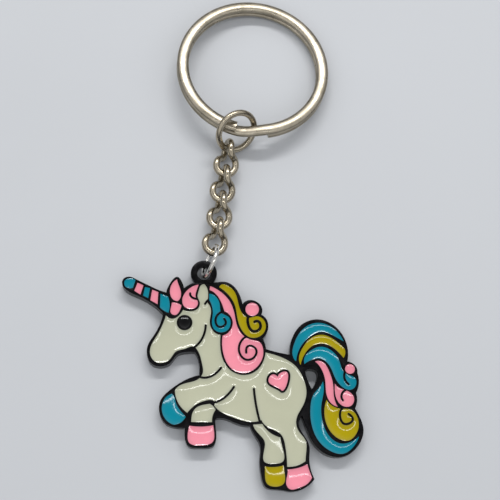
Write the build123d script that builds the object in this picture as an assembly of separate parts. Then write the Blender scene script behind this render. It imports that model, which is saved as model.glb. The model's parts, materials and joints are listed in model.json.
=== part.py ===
from build123d import *
import os
from math import asin, cos, degrees, pi, radians, sin, sqrt

# Unicorn charm keychain: an enamelled die-cast pendant on a short chain with a split ring.
# Millimetres, +Z up out of the enamelled face. The pendant lies on its flat back and the
# chain runs away from it along +Y. While it is drawn, x and y start at the middle of the
# eyelet hole; the whole keychain is moved to the middle of its footprint at the end.

# ---- driving dimensions: pendant ----
PENDANT_WIDTH = 44.5        # horn tip to tail, along X
DRAWN_WIDTH = 44.5          # the same width as the outlines below are drawn
PENDANT_THICKNESS = 2.6     # back to ridge tops
CELL_DEPTH = 1.0            # ridge top down to the floor under the enamel
ENAMEL_LEVEL = 0.28         # how far the enamel lies below the ridge tops
RIDGE_WIDTH = 0.4           # ridge round the heart and the eye
FINE_RIDGE = 0.42           # free-ended ridges: jaw, chest, legs, small curls
BOLD_RIDGE = 0.52           # free-ended ridges of the large curls
EYE_RADIUS = 1.05           # black enamel of the eye
EYELET_RADIUS = 2.45        # outside of the hanging eyelet
EYELET_HOLE_RADIUS = 1.25
EYELET_BOTTOM = 1.2         # underside of the eyelet above the pendant's back
EYELET_THICKNESS = 1.2
EYELET_OVERLAP = 0.55       # how far the eyelet runs into the pendant's top edge
DRAWN_TOP_EDGE = -1.9       # that edge's Y under the eyelet, as the outlines below are drawn
CUT_PAST = 1.0              # cuts run this far past the faces they open

# ---- driving dimensions: chain and rings ----
SPLIT_RING_DIAMETER = 30.0  # outside of the split ring
SPLIT_WIRE_WIDTH = 2.3      # radial width of its flat wire
SPLIT_WIRE_THICKNESS = 1.25
SPLIT_WIRE_CORNER = 0.45
SPLIT_TURN_GAP = 0.06       # between the two turns
SPLIT_RAMP_ANGLE = 26.0     # where the wire crosses from one turn to the other
LOWER_RING_DIAMETER = 7.0   # outside of the thin ring through the eyelet
LOWER_RING_WIRE = 0.8
UPPER_RING_DIAMETER = 9.0   # outside of the ring between chain and split ring
UPPER_RING_WIRE = 1.2
BUTT_GAP = 0.08             # cut ends of every ring and link, all but touching
LINK_LENGTH = 8.0           # outside, along the chain
LINK_WIDTH = 5.0            # outside, across
LINK_WIRE = 1.3
LINK_TWIST = 38.0           # each bow is turned this far from the chain's plane
HOOK_PLAY = 0.1             # clearance where one loop hooks the next

# ---- how the chain lies: degrees east of +Y, upward slope, roll about its own length ----
LOWER_RING_HEADING = 18.0
LOWER_RING_LEAN = 16.0      # the thin ring stands on edge and leans this far over
LOWER_RING_SETBACK = 0.3    # it crosses the eyelet this far short of the hole's middle
LOWER_RING_HOOK = 14.0      # the chain pulls this far below the ring's far side
LINKS_LIE = {
    "chain_link_4": (9.0, -1.5, -36.0),
    "chain_link_3": (6.0, 0.0, -38.0),
    "chain_link_2": (7.0, 0.0, -36.0),
    "chain_link_1": (6.0, 1.0, -34.0),
}
UPPER_RING_SHOULDER = 39.1  # it bears this far round the last link's bow, on the left
UPPER_RING_LIE = (24.2, 34.8, 44.3)
SPLIT_RING_SLIP = (0.39, -0.29)  # its wire lies this far past the ring's middle and above it
SPLIT_RING_LIE = (1.3, -5.8, 4.0)
SPLIT_RING_TURNED = 12.0    # the ring hooks it this far round from the middle of its ramp

# Outlines of the pendant and its enamel cells. An outline is a list of spans; a span starts
# at a corner, runs smoothly through its points and ends where the next span starts.

SILHOUETTE = [
    [(-3.65, -2.95), (-4.0, -1.9), (-4.9, -0.8), (-6.2, -1.95)],
    [(-6.9, -3.85), (-9.75, -2.75), (-12.6, -1.35), (-13.9, -0.9), (-14.9, -1.3), (-15.15, -2.3),
     (-14.5, -3.3), (-11.9, -4.65), (-9.0, -6.35)],
    [(-7.45, -7.85), (-7.95, -9.8), (-9.05, -12.0), (-10.1, -13.8), (-10.2, -15.6), (-9.3, -17.25),
     (-7.6, -17.7), (-6.0, -17.1), (-4.7, -15.5), (-3.2, -15.0)],
    [(-1.55, -14.9), (-0.85, -16.1), (-0.6, -17.9)],
    [(-0.6, -19.25), (-2.3, -19.75), (-4.2, -20.75), (-6.2, -22.25), (-7.6, -24.0), (-7.65, -26.3),
     (-6.5, -28.1), (-5.0, -28.7)],
    [(-3.05, -28.75), (-3.05, -30.6), (-2.5, -31.95), (-0.1, -32.35), (2.1, -31.95), (2.6, -30.3),
     (2.4, -28.3)],
    [(2.45, -27.05), (3.9, -27.05), (5.8, -27.75)],
    [(8.7, -28.3), (9.5, -30.0), (10.45, -31.7), (10.4, -34.4), (10.65, -37.1), (11.5, -39.2),
     (13.4, -39.6)],
    [(14.85, -39.75), (16.6, -39.9), (18.6, -39.2)],
    [(20.2, -37.75), (19.5, -35.9), (19.3, -33.9), (19.35, -31.9), (18.4, -30.0), (17.5, -28.2)],
    [(18.1, -26.5), (19.0, -29.1), (20.6, -32.0), (23.1, -33.65), (25.8, -33.65), (28.2, -31.8),
     (29.25, -29.0), (28.7, -26.8)],
    [(27.8, -25.1), (28.2, -23.8)],
    [(28.05, -22.25), (28.6, -20.7), (28.6, -19.4)],
    [(28.4, -18.6), (28.2, -17.45), (27.5, -16.75)],
    [(26.6, -16.45), (26.75, -14.3), (26.0, -11.8), (24.1, -9.6), (21.1, -8.6), (18.2, -9.65),
     (16.5, -12.05)],
    [(16.0, -15.3), (14.0, -14.95)],
    [(11.6, -14.3), (11.4, -13.3)],
    [(10.95, -12.3), (11.9, -10.9), (11.9, -9.1)],
    [(10.75, -7.85), (10.65, -6.1), (9.1, -5.1)],
    [(7.25, -5.85), (6.75, -4.2), (5.4, -2.3)],
    [(2.6, -1.75)],
    [(-2.1, -2.0), (-3.0, -2.45)],
]

TAIL_OPENING = [
    [(18.75, -18.3), (19.7, -17.9), (20.85, -18.3), (20.85, -20.0)],
    [(19.95, -21.6), (19.35, -20.4)],
]

BODY_CELL = [
    [(0.1, -2.15), (-0.6, -2.5), (-0.9, -3.4), (-1.1, -4.6), (-0.7, -5.6), (-1.0, -6.8),
     (-2.2, -7.35)],
    [(-3.75, -7.1), (-4.4, -8.1), (-5.1, -8.65)],
    [(-6.9, -8.2), (-7.5, -10.0), (-8.5, -12.05), (-9.5, -13.9), (-9.6, -15.6), (-8.7, -16.8),
     (-7.4, -17.05), (-6.1, -16.45), (-4.9, -14.9), (-3.3, -14.4), (-1.8, -13.95), (-0.8, -15.0),
     (-0.15, -17.1), (0.0, -18.9), (-0.7, -19.9), (-2.9, -20.7)],
    [(-5.0, -22.05), (-4.55, -23.95)],
    [(-2.7, -26.1), (-1.6, -24.95), (0.3, -23.95), (2.1, -23.95)],
    [(2.15, -24.75), (3.25, -25.8), (5.4, -26.8), (8.2, -27.6)],
    [(10.1, -27.55)],
    [(10.7, -27.3), (11.9, -28.6), (14.3, -29.95), (15.0, -32.0), (15.25, -34.2)],
    [(15.3, -35.6), (17.0, -35.4)],
    [(18.6, -34.6), (18.75, -33.0), (18.7, -31.0), (17.3, -29.0), (17.1, -26.9), (18.2, -24.8),
     (18.95, -22.2), (18.5, -19.9), (17.2, -17.6), (15.0, -16.05)],
    [(11.5, -14.95), (11.0, -16.8), (9.6, -18.5), (7.4, -19.15), (5.0, -18.25), (3.6, -16.15),
     (3.15, -13.7)],
    [(3.2, -11.75), (1.9, -11.1), (1.2, -9.6), (1.4, -7.6)],
    [(0.75, -5.75), (0.85, -4.3), (0.7, -3.1)],
]
FAR_FORELEG_CELL = [
    [(-1.95, -27.75), (-1.9, -26.8), (-1.7, -26.0), (-1.05, -25.15), (0.15, -24.65)],
    [(1.3, -24.45), (1.95, -24.85)],
    [(2.4, -25.55), (1.95, -26.4)],
    [(1.8, -27.75)],
]
FAR_HIND_LEG_CELL = [
    [(9.2, -28.15)],
    [(10.85, -28.0), (12.25, -29.55)],
    [(14.1, -30.4), (14.6, -32.6), (14.6, -34.6), (12.9, -35.1), (11.2, -34.7), (11.2, -32.6),
     (11.25, -31.1), (10.2, -29.75)],
]
HEART_CELL = [
    [(13.75, -19.4), (14.3, -18.65), (15.35, -18.5), (15.6, -19.75)],
    [(14.45, -21.95), (13.2, -21.2), (12.05, -20.3), (12.35, -19.25)],
]

HORN_CELLS = [
    [[(-12.7, -1.6), (-13.7, -1.2), (-14.6, -1.6), (-14.7, -2.5)], [(-14.0, -3.05), (-13.5, -3.15)],
     [(-13.1, -3.0)]],
    [[(-12.3, -2.05)], [(-11.2, -2.55)], [(-11.7, -4.3)], [(-12.85, -3.6)]],
    [[(-10.9, -2.85)], [(-9.95, -3.05)], [(-10.25, -4.95)], [(-11.2, -4.5)]],
    [[(-9.55, -3.35)], [(-8.4, -3.8)], [(-8.5, -6.1)], [(-9.85, -5.35)]],
    [[(-8.0, -4.1)], [(-6.6, -4.6), (-6.25, -6.0)], [(-6.45, -7.7), (-7.3, -7.3)], [(-8.05, -6.65)]],
]
EYE_CENTRE = (-3.45, -9.5)

FORELOCK_LEAF_CELL = [
    [(-5.0, -1.3), (-4.6, -2.5), (-4.2, -3.9), (-4.6, -5.3)],
    [(-4.8, -5.45), (-5.7, -5.1), (-6.25, -3.9), (-6.0, -2.4)],
]
FORELOCK_DROP_CELL = [
    [(-5.85, -5.75), (-5.0, -5.8)],
    [(-4.1, -6.25), (-4.45, -7.4), (-5.25, -8.1), (-5.95, -7.8), (-6.0, -6.6)],
]
FORELOCK_CURL_CELL = [
    [(-0.95, -2.25), (-1.3, -3.35), (-1.45, -4.7), (-1.05, -5.6), (-1.3, -6.5), (-2.5, -6.9),
     (-3.6, -6.4), (-3.95, -5.3), (-3.6, -4.1), (-2.5, -2.9)],
]

NEAR_FORE_HOOF_CELL = [
    [(-5.55, -22.65), (-6.9, -23.75), (-7.3, -25.5), (-6.6, -27.25)],
    [(-5.1, -28.25), (-3.9, -27.9)],
    [(-2.95, -26.8), (-3.9, -25.75), (-4.75, -24.4), (-5.15, -23.1)],
]
FAR_FORE_HOOF_CELL = [
    [(-2.25, -28.4), (-0.1, -28.55)],
    [(2.0, -28.3), (2.2, -29.6), (2.0, -31.2), (-0.1, -31.9), (-2.3, -31.4), (-2.55, -29.8)],
]
FAR_HIND_HOOF_CELL = [
    [(11.3, -35.55), (13.0, -35.65)],
    [(14.65, -35.35), (14.85, -36.8), (14.7, -38.5), (13.0, -39.1), (11.7, -38.6), (11.3, -37.0)],
]
NEAR_HIND_HOOF_CELL = [
    [(15.4, -36.05), (17.0, -35.85)],
    [(18.9, -35.15), (19.3, -36.3)],
    [(19.75, -37.5), (18.7, -38.7), (17.2, -39.35), (15.7, -39.5), (15.15, -38.8), (15.25, -37.3)],
]

MANE_TEAL_CELL = [
    [(1.05, -3.95), (2.1, -4.35), (3.0, -5.9), (3.4, -7.65), (4.6, -8.3), (5.05, -9.6),
     (4.4, -10.9), (3.1, -11.25), (1.95, -10.6), (1.6, -9.3), (1.75, -7.6), (1.5, -6.1)],
    [(1.05, -5.15)],
]
MANE_PINK_CELL = [
    [(1.2, -2.5), (3.2, -3.6), (4.85, -5.35), (5.7, -7.45), (6.1, -9.5), (7.1, -11.5),
     (8.75, -12.55), (10.4, -13.0), (11.1, -14.7), (10.5, -16.9), (8.9, -18.4), (6.95, -18.75),
     (5.1, -17.85), (3.85, -15.6), (3.5, -13.2)],
    [(3.6, -11.85), (4.9, -11.0), (5.45, -9.4), (4.9, -8.0)],
    [(3.9, -7.3), (3.3, -5.6), (2.1, -3.85)],
    [(1.1, -3.25)],
]
MANE_YELLOW_CELL = [
    [(2.9, -2.7), (3.3, -2.2), (4.6, -2.45), (5.85, -3.7), (6.5, -5.9), (7.3, -7.75), (8.5, -8.45),
     (10.0, -8.15), (11.3, -9.0), (11.5, -10.6), (10.5, -11.9), (8.7, -12.15), (7.2, -10.9),
     (6.3, -8.5), (5.75, -5.9), (4.5, -4.0)],
]
MANE_BALL_CENTRE = (9.05, -6.85)
MANE_BALL_RADIUS = 1.25

TAIL_TEAL_ARC_CELL = [
    [(16.95, -16.4), (16.45, -15.1), (16.85, -13.1), (18.1, -10.85), (20.3, -9.4), (22.5, -9.4),
     (24.6, -10.65)],
    [(26.0, -12.7), (24.2, -11.7), (21.95, -10.95), (19.8, -11.85), (18.0, -13.8)],
    [(17.15, -16.45)],
]
TAIL_YELLOW_ARC_CELL = [
    [(17.95, -17.2), (17.65, -15.85), (18.45, -13.85), (20.1, -12.05), (22.0, -11.5), (24.1, -12.3)],
    [(26.15, -14.1), (26.25, -15.0)],
    [(25.9, -15.8), (24.6, -14.4), (22.6, -13.25), (20.4, -13.5), (18.8, -15.05)],
]
TAIL_TEAL_CURL_CELL = [
    [(18.65, -17.0), (18.65, -15.9), (19.9, -14.45), (21.8, -13.75), (23.7, -14.45),
     (25.1, -16.3), (25.9, -18.4), (26.9, -19.0), (27.9, -19.45), (28.0, -21.0), (27.0, -21.7),
     (25.4, -21.05), (24.2, -19.4), (23.35, -17.4), (21.5, -15.95), (19.8, -16.3)],
]
TAIL_BALL_CENTRE = (27.05, -17.85)
TAIL_BALL_RADIUS = 0.9
TAIL_PINK_STRAND_CELL = [
    [(20.6, -16.5), (22.1, -16.65), (23.3, -18.6), (23.85, -20.6), (23.95, -22.6)],
    [(24.65, -24.8), (23.2, -23.9), (22.55, -22.2), (22.45, -20.2), (21.8, -17.95)],
]
TAIL_PINK_CURL_CELL = [
    [(24.2, -20.55), (25.0, -21.35), (26.6, -21.95), (27.65, -23.1), (27.15, -24.55),
     (25.7, -24.7), (24.5, -23.5), (24.15, -21.9)],
]
TAIL_TEAL_SWEEP_CELL = [
    [(22.0, -20.2), (21.3, -21.35), (20.25, -22.6), (19.65, -24.8), (19.75, -27.8), (20.9, -30.8),
     (23.0, -32.7), (25.4, -33.25), (27.2, -32.15)],
    [(28.4, -30.1), (26.9, -31.1), (25.0, -31.4), (22.9, -30.0), (21.75, -27.2), (21.65, -24.5),
     (22.1, -22.2)],
]
TAIL_YELLOW_CURL_CELL = [
    [(22.6, -23.55), (23.6, -24.6), (25.2, -25.15), (27.0, -25.3), (28.3, -27.1), (28.1, -29.3),
     (26.4, -30.9), (24.3, -30.35), (22.6, -28.2), (22.15, -25.8)],
]

# Free-ended ridges that run into a cell: points from the wall they grow from to the free end.
BODY_RIDGES = [
    (FINE_RIDGE, [(-1.9, -14.3), (-1.0, -13.6), (0.0, -12.1), (0.45, -10.0)]),
    (FINE_RIDGE, [(-0.6, -19.55), (1.05, -19.6), (2.5, -18.8), (3.35, -17.85)]),
    (FINE_RIDGE, [(1.6, -24.3), (3.5, -23.65), (4.9, -22.45), (5.7, -21.35)]),
    (FINE_RIDGE, [(10.5, -27.9), (9.8, -25.0), (9.35, -21.7)]),
    (FINE_RIDGE, [(1.2, -4.9), (0.75, -5.3), (0.3, -5.9)]),
]
FORELOCK_RIDGES = [
    (FINE_RIDGE, [(-0.95, -5.0), (-1.75, -4.9), (-2.35, -4.5), (-2.5, -3.95)]),
]
MANE_TEAL_RIDGES = [
    (FINE_RIDGE, [(3.9, -7.35), (2.7, -7.9), (2.25, -9.1), (2.85, -10.2), (3.85, -10.0),
                  (3.85, -8.7)]),
]
MANE_PINK_RIDGES = [
    (FINE_RIDGE, [(8.0, -12.0), (6.8, -13.3), (6.7, -15.0), (7.9, -16.3), (9.4, -15.85),
                  (9.75, -14.4), (8.65, -13.7), (7.95, -15.0)]),
]
MANE_YELLOW_RIDGES = [
    (BOLD_RIDGE, [(8.6, -7.9), (8.3, -9.7), (9.3, -11.0), (10.5, -10.4), (10.3, -9.2),
                  (9.5, -9.2)]),
]
TAIL_TEAL_CURL_RIDGES = [
    (FINE_RIDGE, [(26.1, -18.35), (26.05, -19.8), (26.7, -20.65)]),
]
TAIL_PINK_CURL_RIDGES = [
    (FINE_RIDGE, [(26.5, -21.6), (25.6, -22.2), (25.35, -22.9), (25.6, -23.6)]),
]
TAIL_YELLOW_CURL_RIDGES = [
    (FINE_RIDGE, [(25.8, -24.9), (25.0, -26.3), (25.8, -27.9), (27.2, -27.4), (26.6, -26.1)]),
]


def placed(point):
    """A drawn point at the pendant's real size, with the top edge held to the eyelet."""
    size = PENDANT_WIDTH / DRAWN_WIDTH
    top_edge = EYELET_OVERLAP - EYELET_RADIUS
    return Vector(point[0] * size, top_edge + (point[1] - DRAWN_TOP_EDGE) * size, 0)


def region(spans):
    """The flat face inside an outline."""
    edges = []
    for span, following in zip(spans, spans[1:] + spans[:1]):
        points = [placed(point) for point in span + following[:1]]
        if len(points) == 2:
            edges.append(Edge.make_line(*points))
        else:
            edges.append(Edge.make_spline(points))
    return Face(Wire(edges))


def disc(centre, radius):
    """A round flat face."""
    return Face(Wire(Edge.make_circle(radius, Plane(centre))))


def stroke(width, points):
    """A flat band of one width along a smooth line, with round ends."""
    line = Edge.make_spline([placed(point) for point in points])
    steps = 4 * len(points)
    left = []
    right = []
    for step in range(steps + 1):
        middle = line.position_at(step / steps)
        across = line.tangent_at(step / steps).rotate(Axis.Z, 90) * (width / 2)
        left.append(middle + across)
        right.append(middle - across)
    start_cap = line.position_at(0) - line.tangent_at(0) * (width / 2)
    end_cap = line.position_at(1) + line.tangent_at(1) * (width / 2)
    edges = [
        Edge.make_spline(left),
        Edge.make_three_point_arc(left[-1], end_cap, right[-1]),
        Edge.make_spline(right[::-1]),
        Edge.make_three_point_arc(right[0], start_cap, left[0]),
    ]
    return Face(Wire(edges))


def plate(face, low, high):
    """A straight-sided plate with the face's outline between two heights."""
    return extrude(face.moved(Location((0, 0, low))), amount=high - low, dir=(0, 0, 1))


def cell_with_ridges(spans, ridges):
    """A cell's outline with its free-ended ridges cut out."""
    cell = region(spans)
    for width, points in ridges:
        cell -= stroke(width, points)
    return cell


def rimmed(spans, rim):
    """An outline's flat face and the bands that widen it by a rim all round."""
    faces = [region(spans)]
    for span, following in zip(spans, spans[1:] + spans[:1]):
        faces.append(stroke(2 * rim, span + following[:1]))
    return faces


def enamel_cells():
    """Every enamel cell as a flat face, by its node name."""
    heart = region(HEART_CELL)
    eye_centre = placed(EYE_CENTRE)
    body = cell_with_ridges(BODY_CELL, BODY_RIDGES)
    for island in (*rimmed(HEART_CELL, RIDGE_WIDTH), disc(eye_centre, EYE_RADIUS + RIDGE_WIDTH)):
        body -= island
    cells = {
        "enamel_body": body,
        "enamel_far_foreleg": region(FAR_FORELEG_CELL),
        "enamel_far_hind_leg": region(FAR_HIND_LEG_CELL),
        "enamel_eye": disc(eye_centre, EYE_RADIUS),
        "enamel_heart": heart,
        "enamel_forelock_leaf": region(FORELOCK_LEAF_CELL),
        "enamel_forelock_drop": region(FORELOCK_DROP_CELL),
        "enamel_forelock_curl": cell_with_ridges(FORELOCK_CURL_CELL, FORELOCK_RIDGES),
        "enamel_near_fore_hoof": region(NEAR_FORE_HOOF_CELL),
        "enamel_far_fore_hoof": region(FAR_FORE_HOOF_CELL),
        "enamel_far_hind_hoof": region(FAR_HIND_HOOF_CELL),
        "enamel_near_hind_hoof": region(NEAR_HIND_HOOF_CELL),
        "enamel_mane_teal": cell_with_ridges(MANE_TEAL_CELL, MANE_TEAL_RIDGES),
        "enamel_mane_pink": cell_with_ridges(MANE_PINK_CELL, MANE_PINK_RIDGES),
        "enamel_mane_yellow": cell_with_ridges(MANE_YELLOW_CELL, MANE_YELLOW_RIDGES),
        "enamel_mane_ball": disc(placed(MANE_BALL_CENTRE), MANE_BALL_RADIUS),
        "enamel_tail_teal_arc": region(TAIL_TEAL_ARC_CELL),
        "enamel_tail_yellow_arc": region(TAIL_YELLOW_ARC_CELL),
        "enamel_tail_teal_curl": cell_with_ridges(TAIL_TEAL_CURL_CELL, TAIL_TEAL_CURL_RIDGES),
        "enamel_tail_ball": disc(placed(TAIL_BALL_CENTRE), TAIL_BALL_RADIUS),
        "enamel_tail_pink_strand": region(TAIL_PINK_STRAND_CELL),
        "enamel_tail_pink_curl": cell_with_ridges(TAIL_PINK_CURL_CELL, TAIL_PINK_CURL_RIDGES),
        "enamel_tail_teal_sweep": region(TAIL_TEAL_SWEEP_CELL),
        "enamel_tail_yellow_curl": cell_with_ridges(TAIL_YELLOW_CURL_CELL, TAIL_YELLOW_CURL_RIDGES),
    }
    for number, spans in enumerate(HORN_CELLS, start=1):
        cells[f"enamel_horn_{number}"] = region(spans)
    return cells


def pendant():
    """The casting and its enamel, face up, with the back on the XY plane."""
    floor = PENDANT_THICKNESS - CELL_DEPTH
    fill = PENDANT_THICKNESS - ENAMEL_LEVEL
    outline = region(SILHOUETTE) - region(TAIL_OPENING)
    body = plate(outline, 0, PENDANT_THICKNESS)
    past_top = PENDANT_THICKNESS + CUT_PAST
    eyelet_top = EYELET_BOTTOM + EYELET_THICKNESS
    casting = body + plate(disc((0, 0), EYELET_RADIUS), EYELET_BOTTOM, eyelet_top)
    casting -= plate(disc((0, 0), EYELET_HOLE_RADIUS), -CUT_PAST, past_top)
    parts = {}
    for name, cell in enamel_cells().items():
        casting -= plate(cell, floor, past_top)
        parts[name] = plate(cell, floor, fill)
    parts["pendant_casting"] = casting
    return parts


def jump_ring(diameter, wire):
    """A round-wire ring in the XY plane, its cut ends on the -Y side all but touching."""
    middle = (diameter - wire) / 2
    cut = degrees(BUTT_GAP / middle)
    section = Plane.XZ * Pos(middle, 0) * Circle(wire / 2)
    ring = revolve(section, axis=Axis.Z, revolution_arc=360 - cut)
    return Rot(0, 0, -90 + cut / 2) * ring


def curb_link():
    """An oval link along Y whose two bows are turned opposite ways out of its plane."""
    bow = (LINK_WIDTH - LINK_WIRE) / 2
    straight = (LINK_LENGTH - LINK_WIDTH) / 2
    out = bow * cos(radians(LINK_TWIST))
    rise = bow * sin(radians(LINK_TWIST))
    tip = straight + bow
    along = Vector(0, 1, 0)
    right_low, right_high = Vector(out, -straight, -rise), Vector(out, straight, rise)
    left_low, left_high = Vector(-out, -straight, rise), Vector(-out, straight, -rise)
    right_middle, left_middle = Vector(out, 0, 0), Vector(-out, 0, 0)
    to_cut = Edge.make_tangent_arc(left_low, along, left_middle)
    from_cut = Edge.make_tangent_arc(left_high, -along, left_middle)
    kept = 1 - BUTT_GAP / 2 / to_cut.length
    path = Wire([
        from_cut.trim(0, kept),
        Edge.make_three_point_arc(left_high, Vector(0, tip, 0), right_high),
        Edge.make_tangent_arc(right_high, -along, right_middle),
        Edge.make_tangent_arc(right_low, along, right_middle),
        Edge.make_three_point_arc(right_low, Vector(0, -tip, 0), left_low),
        to_cut.trim(0, kept),
    ])
    section = Plane(origin=path @ 0, z_dir=path % 0) * Circle(LINK_WIRE / 2)
    return sweep(section, path=path)


def split_ring():
    """Two flat turns, one on the other, joined by a ramp in the middle of the -Y side."""
    middle = (SPLIT_RING_DIAMETER - SPLIT_WIRE_WIDTH) / 2
    level = (SPLIT_WIRE_THICKNESS + SPLIT_TURN_GAP) / 2
    first = -90 + SPLIT_RAMP_ANGLE / 2
    section = Plane.XZ * Pos(middle, 0) * RectangleRounded(
        SPLIT_WIRE_WIDTH, SPLIT_WIRE_THICKNESS, SPLIT_WIRE_CORNER)
    turn = Rot(0, 0, first) * revolve(section, axis=Axis.Z, revolution_arc=360 - SPLIT_RAMP_ANGLE)
    steps = 6
    ramp_sections = []
    for step in range(steps + 1):
        angle = first - SPLIT_RAMP_ANGLE * step / steps
        height = level * cos(pi * step / steps)
        ramp_sections.append(Rot(0, 0, angle) * Pos(0, 0, height) * section)
    ramp = loft(ramp_sections)
    return Pos(0, 0, level) * turn + ramp + Pos(0, 0, -level) * turn


def lie(centre, heading, slope, roll):
    """The plane of a loop that lies with its Y axis on a heading, climbing, and rolled over."""
    turn, climb, tip = radians(heading), radians(slope), radians(roll)
    along = Vector(sin(turn) * cos(climb), cos(turn) * cos(climb), sin(climb))
    level = Vector(cos(turn), -sin(turn), 0)
    side = level * cos(tip) - level.cross(along) * sin(tip)
    return Plane(origin=centre, x_dir=side, z_dir=side.cross(along))


def chain_and_rings():
    """Every loop from the eyelet to the split ring, each hooked on the one before it."""
    parts = {}
    joints = {}

    radius = (LOWER_RING_DIAMETER - LOWER_RING_WIRE) / 2
    lean = radians(LOWER_RING_LEAN)
    ahead = Vector(sin(radians(LOWER_RING_HEADING)), cos(radians(LOWER_RING_HEADING)), 0)
    side = Vector(ahead.Y, -ahead.X, 0)
    up = Vector(0, 0, 1) * cos(lean) + side * sin(lean)
    eyelet_middle = EYELET_BOTTOM + EYELET_THICKNESS / 2
    centre_height = radius * cos(lean) + LOWER_RING_WIRE / 2
    drop = (centre_height - eyelet_middle) / cos(lean)
    reach = sqrt(radius ** 2 - drop ** 2) - LOWER_RING_SETBACK
    centre = ahead * reach + side * (drop * sin(lean)) + Vector(0, 0, centre_height)
    standing = Plane(origin=centre, x_dir=-up, z_dir=ahead.cross(up))
    parts["lower_jump_ring"] = standing * jump_ring(LOWER_RING_DIAMETER, LOWER_RING_WIRE)
    joints["lower_ring_turns_in_eyelet"] = (centre, ahead.cross(up))

    pull = radians(LOWER_RING_HOOK)
    bearing = centre + (ahead * cos(pull) - up * sin(pull)) * radius
    axis = ahead * sin(pull) + up * cos(pull)
    bearing_wire = LOWER_RING_WIRE
    half_length = (LINK_LENGTH - LINK_WIRE) / 2
    link = curb_link()
    sense = -1
    for name, (heading, slope, roll) in LINKS_LIE.items():
        joints[f"{name}_swings"] = (bearing, axis)
        plane = lie(bearing, heading, slope, roll)
        hooked = (bearing_wire + LINK_WIRE) / 2 + HOOK_PLAY
        plane.origin = bearing + plane.y_dir * (half_length - hooked)
        parts[name] = plane * link
        bearing = plane.origin + plane.y_dir * half_length
        bow = radians(LINK_TWIST)
        across_bow = plane.x_dir * cos(bow) + plane.z_dir * sin(bow)
        sense = -sense
        axis = across_bow * sense
        bearing_wire = LINK_WIRE

    shoulder = radians(UPPER_RING_SHOULDER)
    bow = (LINK_WIDTH - LINK_WIRE) / 2
    bow_middle = bearing - plane.y_dir * bow
    bearing = bow_middle + (plane.y_dir * cos(shoulder) - across_bow * sin(shoulder)) * bow
    along_wire = across_bow * cos(shoulder) + plane.y_dir * sin(shoulder)
    axis = along_wire * sense
    joints["upper_ring_swings"] = (bearing, axis)
    radius = (UPPER_RING_DIAMETER - UPPER_RING_WIRE) / 2
    plane = lie(bearing, *UPPER_RING_LIE)
    across = plane.x_dir.cross(along_wire).normalized()
    hooked = (bearing_wire + UPPER_RING_WIRE) / 2 + HOOK_PLAY
    plane.origin = bearing + across * hooked + plane.y_dir * radius
    parts["upper_jump_ring"] = plane * jump_ring(UPPER_RING_DIAMETER, UPPER_RING_WIRE)

    crossing = plane.origin
    plane = lie(crossing, *SPLIT_RING_LIE)
    joints["split_ring_swings"] = (crossing, plane.x_dir)
    middle = (SPLIT_RING_DIAMETER - SPLIT_WIRE_WIDTH) / 2
    aside = radians(SPLIT_RING_TURNED)
    level = (SPLIT_WIRE_THICKNESS + SPLIT_TURN_GAP) / 2
    to_centre = plane.x_dir * sin(aside) + plane.y_dir * cos(aside)
    past, above = SPLIT_RING_SLIP
    slip = plane.y_dir * past + plane.z_dir * above
    plane.origin = crossing + to_centre * middle + plane.z_dir * level + slip
    parts["split_ring"] = plane * split_ring()
    return parts, joints


# ---- build ----
parts = pendant()
chain, joints = chain_and_rings()
parts.update(chain)

boxes = [part.bounding_box() for part in parts.values()]
low_corner = [min(side) for side in zip(*(box.min for box in boxes))]
high_corner = [max(side) for side in zip(*(box.max for box in boxes))]
home = Vector(
    -(low_corner[0] + high_corner[0]) / 2,
    -(low_corner[1] + high_corner[1]) / 2,
    -low_corner[2])

os.makedirs("parts", exist_ok=True)
for name, part in parts.items():
    export_step(Location(home) * part, f"parts/{name}.step")

print("drawing origin at", [round(value, 3) for value in home])
for name, (point, direction) in joints.items():
    at = [round(value, 3) for value in point + home]
    along = [round(value, 4) for value in direction.normalized()]
    print("joint", name, "at", at, "axis", along)
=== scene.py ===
import json
from math import copysign, cos, pi, radians, sin

import bmesh
import bpy
import numpy as np
from mathutils import Matrix, Vector


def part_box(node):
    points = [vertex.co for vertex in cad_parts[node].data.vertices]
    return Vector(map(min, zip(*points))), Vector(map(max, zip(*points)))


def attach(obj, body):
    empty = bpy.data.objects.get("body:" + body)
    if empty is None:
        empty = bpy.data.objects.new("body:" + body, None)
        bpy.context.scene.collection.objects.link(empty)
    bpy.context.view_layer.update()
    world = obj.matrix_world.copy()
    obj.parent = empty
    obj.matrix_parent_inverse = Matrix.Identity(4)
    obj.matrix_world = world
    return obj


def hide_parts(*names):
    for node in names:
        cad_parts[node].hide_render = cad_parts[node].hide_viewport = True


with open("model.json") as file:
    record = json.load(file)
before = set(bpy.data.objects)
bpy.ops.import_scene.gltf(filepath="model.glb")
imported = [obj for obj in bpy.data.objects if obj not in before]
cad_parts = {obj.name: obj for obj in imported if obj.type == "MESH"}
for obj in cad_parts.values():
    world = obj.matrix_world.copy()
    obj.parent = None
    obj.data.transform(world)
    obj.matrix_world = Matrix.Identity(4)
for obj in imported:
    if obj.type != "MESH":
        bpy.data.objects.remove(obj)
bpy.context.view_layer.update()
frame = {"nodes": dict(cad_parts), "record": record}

# Enamelled unicorn charm on a curb chain with a split ring. The CAD frame holds the casting, the
# enamel fills, the chain and the rings at their real size. This script makes the finished pieces:
# the casting with tumbled ridges, the poured enamel, the smooth wire loops and the split ring
# wound from its wire. Metres, in the CAD frame.

MM = 0.001

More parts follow.
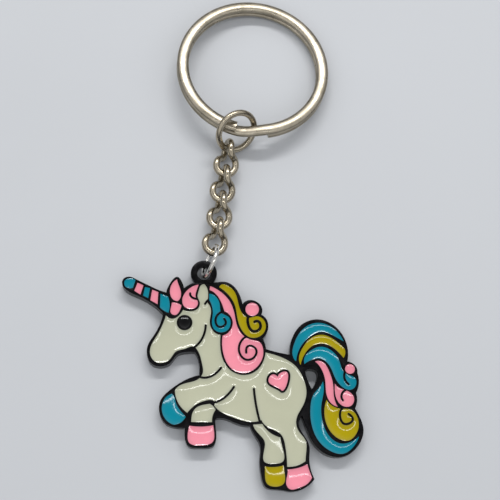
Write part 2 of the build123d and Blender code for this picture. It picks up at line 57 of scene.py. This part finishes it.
# ---- the pendant's finish ----
RIDGE_ROUND = 0.06 * MM      # tumbled rounding of every outer edge of the casting
RIDGE_STEPS = 3              # faces across that rounding
RIDGE_BEND = radians(60)     # an outward edge that bends more than this is rounded
ENAMEL_GRID = 0.16 * MM      # mesh spacing on the enamel's surface
ENAMEL_LINE = 0.05 * MM      # the enamel meets a ridge this far below its top
ENAMEL_SINK = 0.42 * MM      # open enamel settles this far below the ridge tops
ENAMEL_REACH = 0.95 * MM     # how far from a ridge the enamel still climbs towards it
SETTLING_ROUNDS = 900        # passes in which the wet surface finds its level
SHORTEST_TIE = 0.02          # closer corners pull on each other like this share of the grid

# ---- joining and smoothing the meshes ----
JOIN_CASTING = 0.0005 * MM   # corners of the casting or the enamel this close are one
JOIN_LOOP = 0.004 * MM       # the same for the chain's wire loops
JOIN_COIL = 0.001 * MM       # and for the split ring
GRID_SNAP = 0.0005 * MM      # a corner this close to a grid line is on it
TOP_SNAP = 0.001 * MM        # a corner this close to the enamel's top is part of it
SLANT = 0.001                # an edge that leans more than this share of its length is slanting
LEVEL_FACES = radians(0.2)   # neighbouring faces that bend less than this are one face
FACES_UP = 0.9               # least z of the normal of a face that looks up
STANDS_UP = 0.5              # most z of the normal of a wall
SMOOTH_CASTING = radians(35)
SMOOTH_ENAMEL = radians(50)
SMOOTH_WIRE = radians(40)

# ---- the split ring's wire ----
SPLIT_RING_MIDDLE = 13.85 * MM  # radius to the middle of the wire
SPLIT_RING_WIDE = 2.28 * MM
SPLIT_RING_THICK = 1.24 * MM    # of one turn
SPLIT_RING_CROWN = 2.1          # 2 is an oval section, more is squarer
SPLIT_RING_GAP = 0.07 * MM      # between its two turns
SPLIT_RING_RAMP = 26.0          # degrees over which it steps from one turn to the next
SPLIT_RING_RAMP_AT = -90.0      # degrees from +X round to the middle of that step
SPLIT_RING_SIDES = 28           # corners of its section
SPLIT_RING_STEPS = 280          # sections along the two turns
SPLIT_RING_CENTRE = Vector((2.123, 33.255, 3.096)) * MM
SPLIT_RING_LIE = (1.3, -5.8, 4.0)  # degrees: its heading off +Y, its climb, and its roll

# ---- colours, as linear values ----
CREAM = (0.52, 0.53, 0.395)
PINK = (0.95, 0.31, 0.40)
TEAL = (0.0, 0.25, 0.345)
MUSTARD = (0.43, 0.34, 0.0)
BLACK = (0.002, 0.002, 0.0025)
BLACK_NICKEL = (0.006, 0.006, 0.007)
NICKEL = (0.46, 0.415, 0.335)
DULL_NICKEL = (0.50, 0.445, 0.345)
SILVER = (0.86, 0.85, 0.82)
BLACK_NICKEL_BLOOM = (0.016, 0.0155, 0.016)
NICKEL_SHADE = (0.21, 0.185, 0.135)
DULL_NICKEL_SHADE = (0.28, 0.24, 0.175)
SILVER_SHADE = (0.6, 0.58, 0.54)
BARE_EDGE = (0.07, 0.067, 0.064)      # black nickel rubbed thin
PIT = (0.10, 0.085, 0.06)             # grime in a pit of the plating
PAINTED_RIDGE_SHADE = (0.72, 0.74, 0.76)         # painted shade: darkens the enamel in the crease against a ridge
MASK_OFF = (0.0, 0.0, 0.0)
MASK_ON = (1.0, 1.0, 1.0)
FLOOR = (0.567, 0.588, 0.620)
ENAMEL_SHADE = 0.80                   # an enamel's darker drift, as a share of its colour
FLOOR_SHADE = 0.93

ENAMEL_COLOURS = {
    "enamel_cream": CREAM,
    "enamel_pink": PINK,
    "enamel_teal": TEAL,
    "enamel_yellow": MUSTARD,
    "enamel_black": BLACK,
}

# ---- smooth to dull, as roughness, and the depth of fine bumps ----
ENAMEL_GLOSS = (0.09, 0.3)
BLACK_NICKEL_GLOSS = (0.22, 0.42)
SILVER_GLOSS = 0.14
DULL_NICKEL_GLOSS = 0.18
NICKEL_GLOSS = 0.26
SMEAR = 0.14                 # how much duller plating is in a smear
RUB = 0.35                   # how far a rubbed edge goes to bare metal
ENAMEL_IOR = 1.5
BUMP_DEPTH = 0.02 * MM

# ---- camera and light ----
CAMERA_PLACE = Vector((-9.26, -60.01, 200.0)) * MM
CAMERA_AIM = Vector((1.74, -3.01, 0.0)) * MM
CAMERA_LENS = 78.5
CAMERA_NEAR = 0.01
FLOOR_SIZE = 3.0
ROOM_TINT = (1.0, 1.005, 1.015)
ROOM_LIGHT = (               # sine of the height above the horizon, brightness
    (0.0, 0.03),
    (0.28, 0.06),
    (0.50, 0.85),
    (0.82, 0.80),
    (0.95, 0.22),
    (1.0, 0.14),
)


# ---- working on the bench ----

def pick(piece):
    """Only this piece is selected and active."""
    bpy.ops.object.select_all(action="DESELECT")
    piece.select_set(True)
    bpy.context.view_layer.objects.active = piece


def bench_copy(node, name, join_within, has_flats):
    """A new piece with a CAD node's shape, its loose triangles joined into one skin. Where it
    has flats, each becomes one face."""
    piece = bpy.data.objects.new(name, frame["nodes"][node].data.copy())
    piece.data.name = name
    piece.data.materials.clear()
    bpy.context.scene.collection.objects.link(piece)
    pick(piece)
    if piece.data.has_custom_normals:
        bpy.ops.mesh.customdata_custom_splitnormals_clear()
    bpy.ops.object.mode_set(mode="EDIT")
    bpy.ops.mesh.select_all(action="SELECT")
    bpy.ops.mesh.remove_doubles(threshold=join_within)
    if has_flats:
        bpy.ops.mesh.dissolve_limited(angle_limit=LEVEL_FACES)
    bpy.ops.object.mode_set(mode="OBJECT")
    return piece


def select_where(piece, kind, test):
    """In edit mode, selects the faces or edges that pass a test."""
    bpy.ops.mesh.select_mode(type="FACE" if kind == "faces" else "EDGE")
    bpy.ops.mesh.select_all(action="DESELECT")
    skin = bmesh.from_edit_mesh(piece.data)
    for element in getattr(skin, kind):
        if test(element):
            element.select_set(True)
    bmesh.update_edit_mesh(piece.data)


# ---- the pieces ----

def cast_pendant():
    """The die-cast body with the edges of its ridges, rim and eyelet tumbled round."""
    piece = bench_copy("pendant_casting", "cast_pendant", JOIN_CASTING, has_flats=True)
    bpy.ops.object.mode_set(mode="EDIT")
    select_where(piece, "edges", lambda edge: edge.is_convex and edge.calc_face_angle(0) > RIDGE_BEND)
    bpy.ops.mesh.bevel(
        offset=RIDGE_ROUND, segments=RIDGE_STEPS, affect="EDGES", clamp_overlap=False)
    bpy.ops.object.mode_set(mode="OBJECT")
    bpy.ops.object.shade_smooth_by_angle(angle=SMOOTH_CASTING)
    return piece


def plated_loop(node):
    """A wire loop of the chain with its bent wire smooth all the way round."""
    piece = bench_copy(node, f"plated_{node}", JOIN_LOOP, has_flats=False)
    bpy.ops.object.shade_smooth_by_angle(angle=SMOOTH_WIRE)
    return piece


def drawn_curve(name, points, closed):
    """A line of straight steps through points, open or closed."""
    curve = bpy.data.curves.new(name, "CURVE")
    curve.dimensions = "3D"
    spline = curve.splines.new("POLY")
    spline.points.add(len(points) - 1)
    spline.points.foreach_set("co", [part for point in points for part in (*point, 1.0)])
    spline.use_cyclic_u = closed
    made = bpy.data.objects.new(name, curve)
    bpy.context.scene.collection.objects.link(made)
    return made


def crowned_section():
    """Corners of the split ring's wire, cut across: an oval with fuller corners."""
    section = []
    for turn in np.linspace(0, 2 * pi, SPLIT_RING_SIDES, endpoint=False):
        across, up = cos(turn), sin(turn)
        fullness = 2 / SPLIT_RING_CROWN
        section.append((
            copysign(abs(across) ** fullness, across) * SPLIT_RING_WIDE / 2,
            copysign(abs(up) ** fullness, up) * SPLIT_RING_THICK / 2,
            0.0))
    return section


def coil_path():
    """The middle of the wire, twice round, with a short ramp from one turn down to the next."""
    path = []
    level = (SPLIT_RING_THICK + SPLIT_RING_GAP) / 2
    coil = 360 - SPLIT_RING_RAMP
    for gone in np.linspace(0, 2 * coil + SPLIT_RING_RAMP, SPLIT_RING_STEPS):
        angle = radians(SPLIT_RING_RAMP_AT - SPLIT_RING_RAMP / 2 - gone)
        crossed = min(max((gone - coil) / SPLIT_RING_RAMP, 0), 1)
        path.append((
            SPLIT_RING_MIDDLE * cos(angle), SPLIT_RING_MIDDLE * sin(angle), level * cos(pi * crossed)))
    return path


def coiled_split_ring():
    """The split ring: crowned wire wound twice round and laid as it lies on the table."""
    profile = drawn_curve("split_ring_section", crowned_section(), True)
    piece = drawn_curve("coiled_split_ring", coil_path(), False)
    piece.data.twist_mode = "Z_UP"
    piece.data.bevel_mode = "OBJECT"
    piece.data.bevel_object = profile
    piece.data.use_fill_caps = True
    pick(piece)
    bpy.ops.object.convert(target="MESH")
    bpy.data.objects.remove(profile)
    piece = bpy.context.object
    heading, climbing, roll = (radians(angle) for angle in SPLIT_RING_LIE)
    headed = Matrix.Rotation(-heading, 4, "Z")
    tipped = Matrix.Rotation(climbing, 4, "X") @ Matrix.Rotation(roll, 4, "Y")
    piece.matrix_world = Matrix.Translation(SPLIT_RING_CENTRE) @ headed @ tipped
    bpy.ops.object.transform_apply(location=True, rotation=True, scale=True)
    bpy.ops.object.mode_set(mode="EDIT")
    bpy.ops.mesh.select_all(action="SELECT")
    bpy.ops.mesh.remove_doubles(threshold=JOIN_COIL)
    bpy.ops.mesh.normals_make_consistent(inside=False)
    bpy.ops.object.mode_set(mode="OBJECT")
    bpy.ops.object.shade_smooth_by_angle(angle=SMOOTH_WIRE)
    return piece


def climb(mesh, top):
    """How far the wet enamel was drawn up at each corner, 1 at a ridge and towards 0 in the
    open, and which corners are on its top."""
    skin = bmesh.new()
    skin.from_mesh(mesh)
    rim = np.array([
        any(abs(face.normal.z) < STANDS_UP for face in vert.link_faces) for vert in skin.verts])
    skin.free()
    places = np.empty(len(mesh.vertices) * 3)
    mesh.vertices.foreach_get("co", places)
    places = places.reshape(-1, 3)
    on_top = places[:, 2] > top - TOP_SNAP
    ends = np.empty(len(mesh.edges) * 2, int)
    mesh.edges.foreach_get("vertices", ends)
    ends = ends.reshape(-1, 2)
    first, second = ends[on_top[ends].all(1)].T
    gaps = np.linalg.norm(places[first] - places[second], axis=1)
    ties = 1 / (ENAMEL_GRID * np.maximum(gaps, SHORTEST_TIE * ENAMEL_GRID))
    count = len(places)
    held = np.bincount(first, ties, count) + np.bincount(second, ties, count) + ENAMEL_REACH ** -2
    held_up = (rim & on_top).astype(float)
    drawn = held_up.copy()
    for _ in range(SETTLING_ROUNDS):
        pull = np.bincount(first, ties * drawn[second], count)
        pull += np.bincount(second, ties * drawn[first], count)
        drawn = np.where(rim, held_up, pull / held)
    return drawn, on_top


def crosses_grid(edge):
    """An inner edge that runs slantwise over the grid."""
    way = edge.verts[1].co - edge.verts[0].co
    inner = len(edge.link_faces) == 2 and all(face.normal.z > FACES_UP for face in edge.link_faces)
    return inner and min(abs(way.x), abs(way.y)) > SLANT * way.length


def poured_enamel(node):
    """An enamel fill whose open surface sinks and is drawn up where it wets the ridges."""
    piece = bench_copy(node, node.replace("enamel", "poured"), JOIN_CASTING, has_flats=True)
    low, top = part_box(node)
    bpy.ops.object.mode_set(mode="EDIT")
    select_where(piece, "faces", lambda face: face.normal.z > FACES_UP)
    bpy.ops.mesh.hide(unselected=True)
    for axis, across in ((0, (1, 0, 0)), (1, (0, 1, 0))):
        for line in np.arange(low[axis] + ENAMEL_GRID / 3, top[axis], ENAMEL_GRID):
            place = [0.0, 0.0, 0.0]
            place[axis] = line
            bpy.ops.mesh.select_all(action="SELECT")
            bpy.ops.mesh.bisect(plane_co=place, plane_no=across, threshold=GRID_SNAP)
    select_where(piece, "edges", crosses_grid)
    bpy.ops.mesh.dissolve_edges(use_verts=True)
    bpy.ops.mesh.reveal(select=False)
    bpy.ops.object.mode_set(mode="OBJECT")
    drawn, on_top = climb(piece.data, top.z)
    ridge_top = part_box("pendant_casting")[1].z
    for vertex, height in zip(piece.data.vertices, drawn):
        if on_top[vertex.index]:
            vertex.co.z = ridge_top - ENAMEL_SINK + (ENAMEL_SINK - ENAMEL_LINE) * height
    layer = piece.data.attributes.new("climb", "FLOAT", "POINT")
    layer.data.foreach_set("value", drawn.astype(np.float32))
    bpy.ops.object.shade_smooth_by_angle(angle=SMOOTH_ENAMEL)
    return piece


# ---- node trees ----

def add(tree, kind, settings=None, inputs=None):
    """A node with its settings; an input is given a value, or a socket to be linked to."""
    made = tree.nodes.new(kind)
    for name, value in (settings or {}).items():
        setattr(made, name, value)
    for name, value in (inputs or {}).items():
        if isinstance(value, bpy.types.NodeSocket):
            tree.links.new(value, made.inputs[name])
        else:
            made.inputs[name].default_value = value
    return made


def effect(name, inputs, outputs):
    """An empty node group with named inputs and outputs."""
    tree = bpy.data.node_groups.new(name, "ShaderNodeTree")
    for label, (kind, value) in inputs.items():
        socket = tree.interface.new_socket(label, in_out="INPUT", socket_type=kind)
        socket.default_value = value
    for label, kind in outputs.items():
        tree.interface.new_socket(label, in_out="OUTPUT", socket_type=kind)
    return tree, add(tree, "NodeGroupInput").outputs, add(tree, "NodeGroupOutput").inputs


def mottled_tone():
    """Broad, uneven drift from a colour towards a second one."""
    tree, given, out = effect("mottled_tone", {
        "Color": ("NodeSocketColor", (1, 1, 1, 1)),
        "Second": ("NodeSocketColor", (0, 0, 0, 1)),
        "Amount": ("NodeSocketFloat", 0.3),
        "Scale": ("NodeSocketFloat", 200.0),
    }, {"Color": "NodeSocketColor"})
    place = add(tree, "ShaderNodeTexCoord").outputs["Object"]
    cloud = add(tree, "ShaderNodeTexNoise", {}, {
        "Vector": place, "Scale": given["Scale"], "Detail": 5.0, "Roughness": 0.6, "Distortion": 0.6})
    drift = add(tree, "ShaderNodeMapRange", {}, {
        "Value": cloud.outputs["Fac"], "From Min": 0.35, "From Max": 0.7, "To Max": given["Amount"]})
    mixed = add(tree, "ShaderNodeMix", {"data_type": "RGBA"}, {"Factor": drift.outputs["Result"]})
    tree.links.new(given["Color"], mixed.inputs[6])
    tree.links.new(given["Second"], mixed.inputs[7])
    tree.links.new(mixed.outputs[2], out["Color"])
    return tree


def fine_grain():
    """Small even roughness of a surface, with scattered pits."""
    tree, given, out = effect("fine_grain", {
        "Scale": ("NodeSocketFloat", 3000.0),
        "Pits": ("NodeSocketFloat", 0.5),
    }, {"Height": "NodeSocketFloat", "Mask": "NodeSocketFloat"})
    place = add(tree, "ShaderNodeTexCoord").outputs["Object"]
    grain = add(tree, "ShaderNodeTexNoise", {}, {
        "Vector": place, "Scale": given["Scale"], "Detail": 3.0, "Roughness": 0.55})
    cells = add(tree, "ShaderNodeTexVoronoi", {}, {"Vector": place, "Scale": given["Scale"]})
    pit = add(tree, "ShaderNodeMapRange", {}, {
        "Value": cells.outputs["Distance"], "From Min": 0.0, "From Max": 0.25,
        "To Min": given["Pits"], "To Max": 0.0})
    rare = add(tree, "ShaderNodeSeparateColor", {}, {"Color": cells.outputs["Color"]})
    few = add(tree, "ShaderNodeMath", {"operation": "GREATER_THAN"}, {0: rare.outputs["Red"], 1: 0.9})
    mask = add(tree, "ShaderNodeMath", {"operation": "MULTIPLY"}, {
        0: pit.outputs["Result"], 1: few.outputs[0]})
    height = add(tree, "ShaderNodeMath", {"operation": "SUBTRACT"}, {
        0: grain.outputs["Fac"], 1: mask.outputs[0]})
    tree.links.new(height.outputs[0], out["Height"])
    tree.links.new(mask.outputs[0], out["Mask"])
    return tree


def edge_wear():
    """Where handling has rubbed the outer edges, broken up unevenly."""
    tree, given, out = effect("edge_wear", {
        "Start": ("NodeSocketFloat", 0.53),
        "Full": ("NodeSocketFloat", 0.62),
        "Scale": ("NodeSocketFloat", 900.0),
    }, {"Mask": "NodeSocketFloat"})
    place = add(tree, "ShaderNodeTexCoord").outputs["Object"]
    patch = add(tree, "ShaderNodeTexNoise", {}, {"Vector": place, "Scale": given["Scale"], "Detail": 4.0})
    sharp = add(tree, "ShaderNodeNewGeometry").outputs["Pointiness"]
    edge = add(tree, "ShaderNodeMapRange", {}, {
        "Value": sharp, "From Min": given["Start"], "From Max": given["Full"]})
    broken = add(tree, "ShaderNodeMapRange", {}, {
        "Value": patch.outputs["Fac"], "From Min": 0.42, "From Max": 0.62})
    mask = add(tree, "ShaderNodeMath", {"operation": "MULTIPLY"}, {
        0: edge.outputs["Result"], 1: broken.outputs["Result"]})
    tree.links.new(mask.outputs[0], out["Mask"])
    return tree


def place_group(tree, group_tree, inputs):
    """An effect placed in a material with its own values."""
    return add(tree, "ShaderNodeGroup", {"node_tree": group_tree}, inputs).outputs


def opaque(colour):
    """A colour that hides what is behind it."""
    return (*colour, 1.0)


def material(name):
    """An empty material with its shader joined to the output."""
    made = bpy.data.materials.new(name)
    made.use_nodes = True
    tree = made.node_tree
    tree.nodes.clear()
    shader = add(tree, "ShaderNodeBsdfPrincipled")
    add(tree, "ShaderNodeOutputMaterial", {}, {"Surface": shader.outputs["BSDF"]})
    return made, tree, shader


def join(tree, shader, links):
    """Sockets linked to a shader's inputs by name."""
    for name, socket in links.items():
        tree.links.new(socket, shader.inputs[name])


def spread(tree, socket, low, high):
    """A mask spread between two values."""
    ranged = add(tree, "ShaderNodeMapRange", {}, {"Value": socket, "To Min": low, "To Max": high})
    return ranged.outputs["Result"]


def enamel_material(slot, colour):
    """Glossy poured enamel, its pigment a little uneven, with painted shade darkening it where it meets
    the ridges.
    """
    made, tree, shader = material(slot)
    darker = tuple(ENAMEL_SHADE * part for part in colour)
    tone = place_group(tree, EFFECTS["mottled_tone"], {
        "Color": opaque(colour), "Second": opaque(darker), "Amount": 0.22, "Scale": 260.0})["Color"]
    drawn = add(tree, "ShaderNodeAttribute", {"attribute_name": "climb"}).outputs["Fac"]
    # painted shade: the colour darkens towards the ridges, most where the enamel meets them
    ridge_shade_mask = add(tree, "ShaderNodeMath", {"operation": "POWER"}, {0: drawn, 1: 4.0}).outputs[0]
    edge = add(tree, "ShaderNodeMix", {"data_type": "RGBA", "blend_type": "MULTIPLY"}, {
        0: ridge_shade_mask, 6: tone, 7: opaque(PAINTED_RIDGE_SHADE)}).outputs[2]
    grain = place_group(tree, EFFECTS["fine_grain"], {"Scale": 1400.0, "Pits": 0.4})
    bump = add(tree, "ShaderNodeBump", {}, {
        "Height": grain["Height"], "Strength": 0.06, "Distance": BUMP_DEPTH}).outputs["Normal"]
    join(tree, shader, {
        "Base Color": edge, "Roughness": spread(tree, grain["Mask"], *ENAMEL_GLOSS), "Normal": bump})
    shader.inputs["IOR"].default_value = ENAMEL_IOR
    return made


def black_nickel_material():
    """Black plating over cast zinc: dark, satin, rubbed grey along the proud edges."""
    made, tree, shader = material("black_nickel")
    tone = place_group(tree, EFFECTS["mottled_tone"], {
        "Color": opaque(BLACK_NICKEL), "Second": opaque(BLACK_NICKEL_BLOOM),
        "Amount": 0.5, "Scale": 700.0})["Color"]
    worn = place_group(tree, EFFECTS["edge_wear"], {"Start": 0.56, "Full": 0.72, "Scale": 900.0})["Mask"]
    rubbed = spread(tree, worn, 0.0, RUB)
    mixed = add(tree, "ShaderNodeMix", {"data_type": "RGBA"}, {
        0: rubbed, 6: tone, 7: opaque(BARE_EDGE)}).outputs[2]
    grain = place_group(tree, EFFECTS["fine_grain"], {"Scale": 5200.0, "Pits": 0.6})
    bump = add(tree, "ShaderNodeBump", {}, {
        "Height": grain["Height"], "Strength": 0.25, "Distance": BUMP_DEPTH}).outputs["Normal"]
    join(tree, shader, {
        "Base Color": mixed, "Roughness": spread(tree, grain["Height"], *BLACK_NICKEL_GLOSS),
        "Normal": bump})
    shader.inputs["Metallic"].default_value = 1.0
    return made


def plated_material(name, colour, shade, roughness):
    """Bright plating with drifting tarnish, dull smears and a few fine pits."""
    made, tree, shader = material(name)
    tone = place_group(tree, EFFECTS["mottled_tone"], {
        "Color": opaque(colour), "Second": opaque(shade), "Amount": 0.75, "Scale": 240.0})["Color"]
    smear = place_group(tree, EFFECTS["mottled_tone"], {
        "Color": opaque(MASK_OFF), "Second": opaque(MASK_ON), "Amount": 1.0, "Scale": 700.0})["Color"]
    grain = place_group(tree, EFFECTS["fine_grain"], {"Scale": 2200.0, "Pits": 0.5})
    pitted = add(tree, "ShaderNodeMix", {"data_type": "RGBA"}, {
        0: grain["Mask"], 6: tone, 7: opaque(PIT)}).outputs[2]
    bump = add(tree, "ShaderNodeBump", {}, {
        "Height": grain["Height"], "Strength": 0.05, "Distance": BUMP_DEPTH}).outputs["Normal"]
    join(tree, shader, {
        "Base Color": pitted, "Normal": bump,
        "Roughness": spread(tree, smear, roughness, roughness + SMEAR)})
    shader.inputs["Metallic"].default_value = 1.0
    return made


# ---- stage ----

def floor():
    """A plain pale sheet that the keychain lies on."""
    bpy.ops.object.select_all(action="DESELECT")
    bpy.ops.mesh.primitive_plane_add(size=FLOOR_SIZE, location=(0, 0, 0))
    sheet = bpy.context.object
    sheet.name = "floor"
    made, tree, shader = material("pale_sheet")
    tone = place_group(tree, EFFECTS["mottled_tone"], {
        "Color": opaque(FLOOR), "Second": opaque(tuple(FLOOR_SHADE * part for part in FLOOR)),
        "Amount": 0.4, "Scale": 9.0})["Color"]
    join(tree, shader, {"Base Color": tone})
    shader.inputs["Roughness"].default_value = 0.75
    shader.inputs["Specular IOR Level"].default_value = 0.2
    sheet.data.materials.append(made)


def aimed(place, aim):
    """The turn and place of a thing that looks from one point at another, its width level."""
    away = (place - aim).normalized()
    level = Vector((0, 1, 0)).cross(away).normalized()
    turn = Matrix((level, away.cross(level), away)).transposed().to_4x4()
    return Matrix.Translation(place) @ turn


def lamp(name, place, aim, width, depth, watts, colour):
    """A soft rectangular lamp pointed at a place."""
    data = bpy.data.lights.new(name, "AREA")
    data.shape = "RECTANGLE"
    data.size = width
    data.size_y = depth
    data.energy = watts
    data.color = colour
    made = bpy.data.objects.new(name, data)
    bpy.context.scene.collection.objects.link(made)
    made.matrix_world = aimed(place, aim)
    made.visible_camera = False


def surroundings():
    """A dim room round a pale tent that is open at the top."""
    world = bpy.data.worlds.new("room")
    world.use_nodes = True
    bpy.context.scene.world = world
    tree = world.node_tree
    tree.nodes.clear()
    way = add(tree, "ShaderNodeTexCoord").outputs["Generated"]
    height = add(tree, "ShaderNodeSeparateXYZ", {}, {"Vector": way}).outputs["Z"]
    ramp = add(tree, "ShaderNodeValToRGB", {}, {"Fac": height})
    stops = ramp.color_ramp.elements
    for _ in range(len(ROOM_LIGHT) - len(stops)):
        stops.new(0.5)
    for stop, (place, level) in zip(stops, ROOM_LIGHT):
        stop.position = place
        stop.color = opaque(level * part for part in ROOM_TINT)
    background = add(tree, "ShaderNodeBackground", {}, {"Color": ramp.outputs["Color"], "Strength": 1.0})
    add(tree, "ShaderNodeOutputWorld", {}, {"Surface": background.outputs["Background"]})


def camera():
    """Looking down on the pendant from a little below it, upright along +Y."""
    data = bpy.data.cameras.new("camera")
    data.lens = CAMERA_LENS
    data.clip_start = CAMERA_NEAR
    made = bpy.data.objects.new("camera", data)
    bpy.context.scene.collection.objects.link(made)
    made.matrix_world = aimed(CAMERA_PLACE, CAMERA_AIM)
    bpy.context.scene.camera = made


# ---- make ----

EFFECTS = {"mottled_tone": mottled_tone(), "fine_grain": fine_grain(), "edge_wear": edge_wear()}

camera()
floor()
surroundings()
lamp(
    "key", place=Vector((30, 360, 500)) * MM, aim=Vector((0, 0, 0)),
    width=0.48, depth=0.05, watts=1.9, colour=(1.0, 0.985, 0.96))
lamp(
    "overhead_strip", place=Vector((0, -52, 600)) * MM, aim=Vector((0, -30, 0)) * MM,
    width=0.6, depth=0.022, watts=0.55, colour=(1.0, 1.0, 1.0))

enamels = {slot: enamel_material(slot, colour) for slot, colour in ENAMEL_COLOURS.items()}
slot_of = {part["node"]: part["material_slot"] for part in frame["record"]["subparts"]}

casting = cast_pendant()
casting.data.materials.append(black_nickel_material())
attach(casting, "pendant")
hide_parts("pendant_casting")

for node in sorted(frame["nodes"]):
    if node.startswith("enamel"):
        fill = poured_enamel(node)
        fill.data.materials.append(enamels[slot_of[node]])
        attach(fill, "pendant")
        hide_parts(node)

finishes = {
    "silver_wire": plated_material("silver_wire", SILVER, SILVER_SHADE, SILVER_GLOSS),
    "nickel_wire": plated_material("nickel_wire", DULL_NICKEL, DULL_NICKEL_SHADE, DULL_NICKEL_GLOSS),
    "nickel_split_ring": plated_material("nickel_split_ring", NICKEL, NICKEL_SHADE, NICKEL_GLOSS),
}
for node, slot in slot_of.items():
    if slot in finishes:
        loop = coiled_split_ring() if node == "split_ring" else plated_loop(node)
        loop.data.materials.append(finishes[slot])
        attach(loop, node)
        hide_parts(node)

bpy.context.scene.view_settings.view_transform = "Standard"
